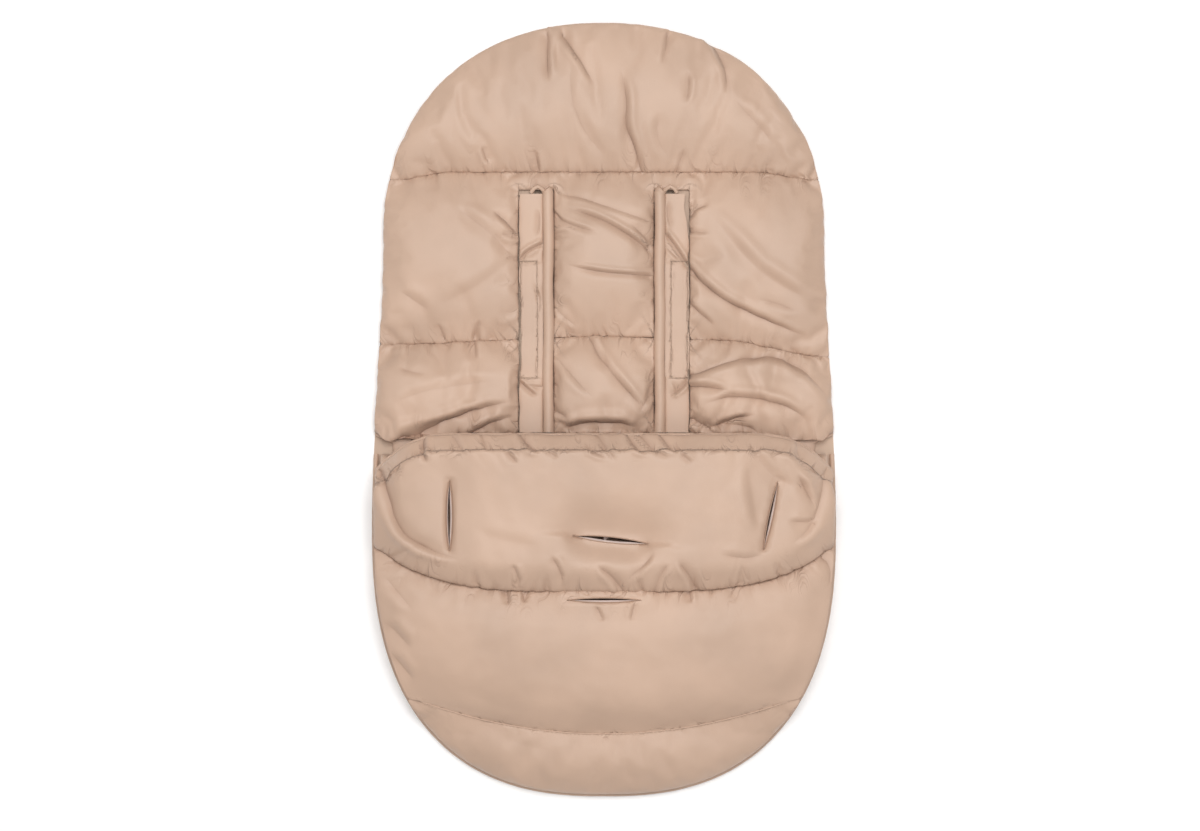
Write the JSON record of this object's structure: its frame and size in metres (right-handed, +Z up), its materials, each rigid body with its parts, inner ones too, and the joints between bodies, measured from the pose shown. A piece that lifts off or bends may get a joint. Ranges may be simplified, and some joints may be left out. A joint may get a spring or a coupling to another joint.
{
  "type": "pushchair footmuff",
  "caption": "Oval quilted footmuff lying flat: padded back with harness slots under a zipped, padded leg cover with belt slits.",
  "frame": {"origin": "centre of the outline on the surface that the footmuff lies on", "axes": "+Y towards the head end, +Z up out of the opened side, +X to the right in the picture"},
  "size_m": [0.465, 0.772, 0.0741],
  "materials": {
    "outer_cloth": "satin quilted cloth",
    "rear_cloth": "matt woven cloth",
    "pale_lining": "soft brushed lining",
    "tape": "woven tape",
    "zip_metal": "satin"
  },
  "bodies": {
    "back": {"shoulder_pad": "outer_cloth", "lumbar_pad_left": "outer_cloth", "lumbar_pad_middle": "outer_cloth", "lumbar_pad_right": "outer_cloth", "rear_cloth_back": "rear_cloth", "slot_piping_left": "outer_cloth", "slot_piping_right": "outer_cloth", "slot_underlap_left": "rear_cloth", "slot_underlap_right": "rear_cloth", "loop_tape_left": "tape", "loop_tape_right": "tape"},
    "head": {"head_pad": "outer_cloth", "rear_cloth_head": "rear_cloth"},
    "slot_flap_left": {"slot_flap_left": "outer_cloth", "hook_tape_left": "tape"},
    "slot_flap_right": {"slot_flap_right": "outer_cloth", "hook_tape_right": "tape"},
    "legs": {"seat_pad": "outer_cloth", "shin_pad": "outer_cloth", "toe_pad": "outer_cloth", "rear_cloth_legs": "rear_cloth", "edge_piping": "outer_cloth", "cover_toe": "outer_cloth", "lining_toe": "pale_lining", "zip_pad_left": "tape", "zip_pad_right": "tape", "zip_tab_left": "outer_cloth", "zip_tab_right": "outer_cloth"},
    "cover_shins": {"cover_shin": "outer_cloth", "lining_shin": "pale_lining", "slit_trim_crotch_lower": "pale_lining", "zip_shin_left": "tape", "zip_shin_right": "tape"},
    "cover_top": {"cover_flap": "outer_cloth", "lining_flap": "pale_lining", "cover_hem": "outer_cloth", "slit_trim_crotch_upper": "pale_lining", "slit_trim_hip_left": "pale_lining", "slit_trim_hip_right": "pale_lining", "zip_flap_left": "tape", "zip_flap_right": "tape"},
    "zip_slider_left": {"zip_slider_left": "zip_metal"},
    "zip_slider_right": {"zip_slider_right": "zip_metal"},
    "zip_pull_left": {"zip_pull_left": "zip_metal"},
    "zip_pull_right": {"zip_pull_right": "zip_metal"}
  },
  "joints": [
    {"name": "head_fold", "type": "hinge", "parent": "back", "child": "head", "pos_m": [0, 0.23901, 0.0078], "axis": [1, 0, 0], "range_deg": [0, 90]},
    {"name": "legs_fold", "type": "hinge", "parent": "back", "child": "legs", "pos_m": [0, -0.022, 0.0138], "axis": [-1, 0, 0], "range_deg": [0, 60]},
    {"name": "cover_open", "type": "hinge", "parent": "legs", "child": "cover_shins", "pos_m": [0, -0.32053, 0.03408], "axis": [1, 0, 0], "range_deg": [0, 130]},
    {"name": "cover_top_fold", "type": "hinge", "parent": "cover_shins", "child": "cover_top", "pos_m": [0, -0.17648, 0.0503], "axis": [1, 0, 0], "range_deg": [0, 92]},
    {"name": "slot_flap_left_lift", "type": "hinge", "parent": "back", "child": "slot_flap_left", "pos_m": [-0.0557, 0.101, 0.0135], "axis": [0, 1, 0], "range_deg": [0, 120]},
    {"name": "zip_left_slide", "type": "slide", "parent": "legs", "child": "zip_slider_left", "axis": [0, -1, 0], "range_m": [0, 0.111]},
    {"name": "zip_pull_left_swing", "type": "hinge", "parent": "zip_slider_left", "child": "zip_pull_left", "pos_m": [-0.22248, -0.071, 0.0153], "axis": [0, 0, -1], "range_deg": [0, 100]},
    {"name": "slot_flap_right_lift", "type": "hinge", "parent": "back", "child": "slot_flap_right", "pos_m": [0.0557, 0.101, 0.0135], "axis": [0, -1, 0], "range_deg": [0, 120]},
    {"name": "zip_right_slide", "type": "slide", "parent": "legs", "child": "zip_slider_right", "axis": [0, -1, 0], "range_m": [0, 0.111]},
    {"name": "zip_pull_right_swing", "type": "hinge", "parent": "zip_slider_right", "child": "zip_pull_right", "pos_m": [0.22248, -0.071, 0.0153], "axis": [0, 0, 1], "range_deg": [0, 100]}
  ]
}
